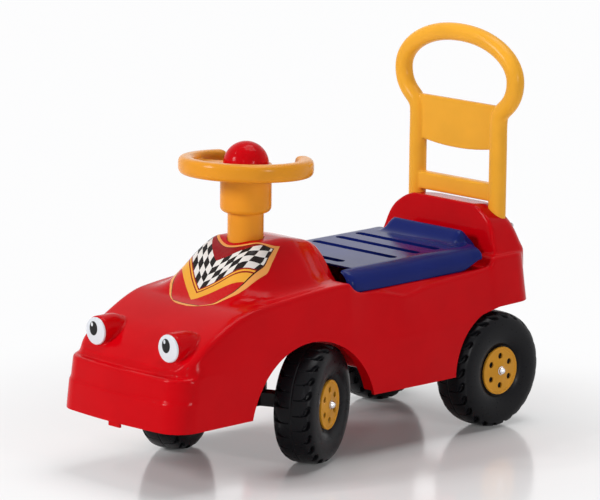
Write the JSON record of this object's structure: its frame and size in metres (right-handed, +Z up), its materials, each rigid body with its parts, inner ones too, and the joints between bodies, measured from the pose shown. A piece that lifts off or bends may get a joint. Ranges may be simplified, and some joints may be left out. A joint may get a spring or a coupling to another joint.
{
  "type": "ride-on toy car",
  "caption": "Small child's foot-pushed ride-on car with a steered front axle, domed horn button, lift-up seat over a storage well, and a tall rear push handle.",
  "frame": {"origin": "on the floor, at the middle of the car's bounding box", "axes": "+Z up, the nose points along -Y and the car's left side is +X; the front wheels and the steering wheel stand turned as in the picture"},
  "size_m": [0.2652, 0.6344, 0.507],
  "materials": {
    "red_plastic": "glossy red moulding",
    "yellow_plastic": "glossy warm yellow moulding",
    "orange_plastic": "glossy orange moulding",
    "hub_plastic": "satin golden yellow moulding",
    "blue_plastic": "glossy deep blue moulding",
    "black_plastic": "black moulding",
    "white_plastic": "white moulding",
    "tyre_black": "satin black blow moulding",
    "steel": "plain steel",
    "bright_cap": "bright plated cap"
  },
  "bodies": {
    "frame": {"body_shell": "red_plastic", "eye_left": "white_plastic", "eye_right": "white_plastic", "pupil_left": "black_plastic", "pupil_right": "black_plastic", "push_handle": "yellow_plastic", "handle_screw_left": "steel", "handle_screw_right": "steel", "seat_hinge_pin_left": "steel", "seat_hinge_pin_right": "steel", "column_bush_lower": "black_plastic", "column_bush_upper": "black_plastic", "rear_axle_beam": "black_plastic", "rear_axle": "steel", "rear_beam_screw_left_front": "steel", "rear_beam_screw_left_rear": "steel", "rear_beam_screw_right_front": "steel", "rear_beam_screw_right_rear": "steel", "axle_cap_rear_left": "bright_cap", "axle_cap_rear_right": "bright_cap", "wheel_spacer_rear_left": "white_plastic", "wheel_spacer_rear_right": "white_plastic"},
    "steering": {"steering_wheel": "orange_plastic", "steering_column": "orange_plastic", "column_pin": "steel", "thrust_washer": "black_plastic", "horn_spring": "steel", "squeaker": "white_plastic", "front_axle_beam": "black_plastic", "front_axle": "steel", "axle_cap_front_left": "bright_cap", "axle_cap_front_right": "bright_cap", "wheel_spacer_front_left": "white_plastic", "wheel_spacer_front_right": "white_plastic"},
    "horn": {"horn_button": "red_plastic"},
    "seat": {"seat_lid": "blue_plastic"},
    "wheel_front_left": {"tyre_front_left": "tyre_black", "hub_front_left": "hub_plastic"},
    "wheel_front_right": {"tyre_front_right": "tyre_black", "hub_front_right": "hub_plastic"},
    "wheel_rear_left": {"tyre_rear_left": "tyre_black", "hub_rear_left": "hub_plastic"},
    "wheel_rear_right": {"tyre_rear_right": "tyre_black", "hub_rear_right": "hub_plastic"}
  },
  "joints": [
    {"name": "steer", "type": "hinge", "parent": "frame", "child": "steering", "pos_m": [0, -0.0963, 0.2], "axis": [0, 0, 1], "range_deg": [-53.8, 6.2]},
    {"name": "horn_press", "type": "slide", "parent": "steering", "child": "horn", "axis": [0, 0, -1], "range_m": [0, 0.0035], "stiffness_N_per_m": 600, "springref_m": -0.004, "deforming": ["horn_spring"]},
    {"name": "seat_lift", "type": "hinge", "parent": "frame", "child": "seat", "pos_m": [0, 0.238, 0.2375], "axis": [-1, 0, 0], "range_deg": [0, 80]},
    {"name": "spin_front_left", "type": "hinge", "parent": "steering", "child": "wheel_front_left", "pos_m": [0.08326, -0.05958, 0.075], "axis": [0.915, 0.4035, 0], "continuous": true},
    {"name": "spin_front_right", "type": "hinge", "parent": "steering", "child": "wheel_front_right", "pos_m": [-0.08326, -0.13302, 0.075], "axis": [0.915, 0.4035, 0], "continuous": true},
    {"name": "spin_rear_left", "type": "hinge", "parent": "frame", "child": "wheel_rear_left", "pos_m": [0.0983, 0.2422, 0.075], "axis": [1, 0, 0], "continuous": true},
    {"name": "spin_rear_right", "type": "hinge", "parent": "frame", "child": "wheel_rear_right", "pos_m": [-0.0983, 0.2422, 0.075], "axis": [1, 0, 0], "continuous": true}
  ]
}
